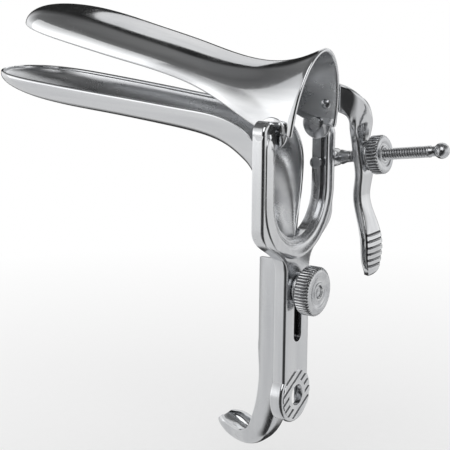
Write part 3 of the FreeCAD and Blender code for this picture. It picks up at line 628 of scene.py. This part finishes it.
def dark_ends(tree, direction):
    """1 towards the room's two dark ends, behind the camera and straight ahead of it, and 0 elsewhere."""
    level = joined(tree, "ShaderNodeVectorMath", {0: direction, 1: (1, 1, 0)}, operation="MULTIPLY")
    unit = joined(tree, "ShaderNodeVectorMath", {0: level.outputs[0]}, operation="NORMALIZE").outputs[0]
    ends = []
    for side, start, full in ((CAMERA_SIDE, 0.62, 0.86), (FAR_SIDE, 0.80, 0.92)):
        alike = joined(tree, "ShaderNodeVectorMath", {0: unit, 1: side}, operation="DOT_PRODUCT")
        ends.append(ranged(tree, alike.outputs["Value"], start, full, 0, 1))
    return joined(tree, "ShaderNodeMath", {0: ends[0], 1: ends[1]}, operation="MAXIMUM").outputs[0]


def pale_floor():
    """A round pale table under the part. To the camera it fades into the white surround; in the steel's
    reflections it is painted near black towards the two dark ends.
    """
    points = [Vector((0, 0, FLOOR_HEIGHT))]
    points += [Vector((FLOOR_RADIUS * math.cos(math.radians(t)), FLOOR_RADIUS * math.sin(math.radians(t)),
                       FLOOR_HEIGHT)) for t in range(0, 360, 5)]
    mesh = bpy.data.meshes.new("floor")
    mesh.from_pydata(points, [], [(0, 1 + k, 1 + (k + 1) % 72) for k in range(72)])
    floor = bpy.data.objects.new("floor", mesh)
    bpy.context.scene.collection.objects.link(floor)
    paper = bpy.data.materials.new("pale floor")
    paper.use_nodes = True
    tree = paper.node_tree
    shader = tree.nodes["Principled BSDF"]
    grain = joined(tree, "ShaderNodeTexNoise", {"Scale": 300.0, "Detail": 3.0})
    tone = joined(tree, "ShaderNodeMix", {"Factor": grain.outputs["Fac"], "A": (0.86, 0.86, 0.86, 1),
                                          "B": (0.90, 0.90, 0.90, 1)}, data_type="RGBA")
    shader.inputs["Roughness"].default_value = 0.9
    where = joined(tree, "ShaderNodeTexCoord", {}).outputs["Object"]
    glossy = joined(tree, "ShaderNodeLightPath", {}).outputs["Is Glossy Ray"]
    # Painted dark reflection: to glossy rays the floor is near black towards the dark ends.
    painted_dark_reflection = joined(tree, "ShaderNodeMath", {0: dark_ends(tree, where), 1: glossy}, operation="MULTIPLY")
    seen = joined(tree, "ShaderNodeMix", {"Factor": painted_dark_reflection.outputs[0], "A": tone.outputs[2],
                                          "B": (0.03, 0.03, 0.03, 1)}, data_type="RGBA")
    tree.links.new(seen.outputs[2], shader.inputs["Base Color"])
    away = joined(tree, "ShaderNodeVectorMath", {0: where}, operation="LENGTH").outputs["Value"]
    rays = joined(tree, "ShaderNodeLightPath", {}).outputs["Is Camera Ray"]
    fade = ranged(tree, away, 0.05, 0.42, 0.35, 1)
    white = joined(tree, "ShaderNodeMath", {0: fade, 1: rays}, operation="MULTIPLY").outputs[0]
    glow = joined(tree, "ShaderNodeEmission", {"Color": (1, 1, 1, 1), "Strength": 1.0})
    mixed = joined(tree, "ShaderNodeMixShader", {0: white, 1: shader.outputs[0], 2: glow.outputs[0]})
    tree.links.new(mixed.outputs[0], tree.nodes["Material Output"].inputs["Surface"])
    mesh.materials.append(paper)


def surround():
    """White to the camera. Steel sees a pale wall at eye level, a dark ceiling and two dark ends."""
    world = bpy.data.worlds.new("studio")
    bpy.context.scene.world = world
    world.use_nodes = True
    tree = world.node_tree
    rays = joined(tree, "ShaderNodeLightPath", {})
    seen = joined(tree, "ShaderNodeMath", {0: rays.outputs["Is Camera Ray"],
                                           1: rays.outputs["Is Transmission Ray"]}, operation="MAXIMUM")
    direction = joined(tree, "ShaderNodeTexCoord", {}).outputs["Generated"]
    height = joined(tree, "ShaderNodeSeparateXYZ", {"Vector": direction}).outputs["Z"]
    sky = joined(tree, "ShaderNodeValToRGB", {"Fac": ranged(tree, height, -1, 1, 0, 1)})
    ramp = sky.color_ramp
    ramp.elements[0].position = 0.0
    ramp.elements[0].color = (0.30, 0.30, 0.30, 1)
    ramp.elements[1].position = 1.0
    ramp.elements[1].color = (0.20, 0.20, 0.20, 1)
    for position, level in ((0.46, 0.9), (0.58, 1.0), (0.70, 0.55), (0.80, 0.18), (0.92, 0.12)):
        stop = ramp.elements.new(position)
        stop.color = (level, level, level, 1)
    room = joined(tree, "ShaderNodeMix", {"Factor": dark_ends(tree, direction), "A": sky.outputs["Color"],
                                          "B": (0.02, 0.02, 0.02, 1)}, data_type="RGBA")
    colour = joined(tree, "ShaderNodeMix", {"Factor": rays.outputs["Is Glossy Ray"],
                                            "A": (0.55, 0.55, 0.55, 1), "B": room.outputs[2]},
                    data_type="RGBA")
    shown = joined(tree, "ShaderNodeMix", {"Factor": seen.outputs[0], "A": colour.outputs[2],
                                           "B": (1, 1, 1, 1)}, data_type="RGBA")
    tree.links.new(shown.outputs[2], tree.nodes["Background"].inputs["Color"])


def lamp(name, spot, size, power):
    data = bpy.data.lights.new(name, "AREA")
    data.energy = power
    data.size = size
    made = bpy.data.objects.new(name, data)
    made.location = spot
    aim = Vector((-0.04, 0, 0.07)) - Vector(spot)
    made.rotation_euler = aim.to_track_quat("-Z", "Y").to_euler()
    bpy.context.scene.collection.objects.link(made)


def studio():
    pale_floor()
    surround()
    lamp("key lamp", (0.35, -0.75, 0.85), 0.8, 3.2)
    lamp("fill lamp", (-0.8, -0.55, 0.35), 1.0, 1.6)
    lamp("back lamp", (-0.2, 0.8, 0.7), 0.9, 2.0)
    bpy.context.scene.view_settings.view_transform = "Standard"


def photo_camera():
    """The camera at the photograph's viewing angle."""
    turn, lift, roll = (math.radians(angle) for angle in CAMERA_ANGLES)
    distance, pixels = CAMERA_DISTANCE, PIXELS_PER_MM * CAMERA_DISTANCE
    back = Vector((math.sin(turn) * math.cos(lift), -math.cos(turn) * math.cos(lift), math.sin(lift)))
    right = Vector((math.cos(turn), math.sin(turn), 0))
    up = back.cross(right)
    right, up = right * math.cos(roll) + up * math.sin(roll), up * math.cos(roll) - right * math.sin(roll)
    middle = (back - right * ((HINGE_PIXEL[0] - PHOTO_SIZE / 2) / pixels)
              - up * ((PHOTO_SIZE / 2 - HINGE_PIXEL[1]) / pixels)) * distance
    data = bpy.data.cameras.new("camera")
    data.sensor_width = 36
    data.lens = pixels / PHOTO_SIZE * data.sensor_width
    data.clip_start = 0.01
    camera = bpy.data.objects.new("camera", data)
    turned = Matrix((right, up, back)).transposed().to_4x4()
    turned.translation = place(middle)
    camera.matrix_world = turned
    bpy.context.scene.collection.objects.link(camera)
    bpy.context.scene.camera = camera


studio()
photo_camera()
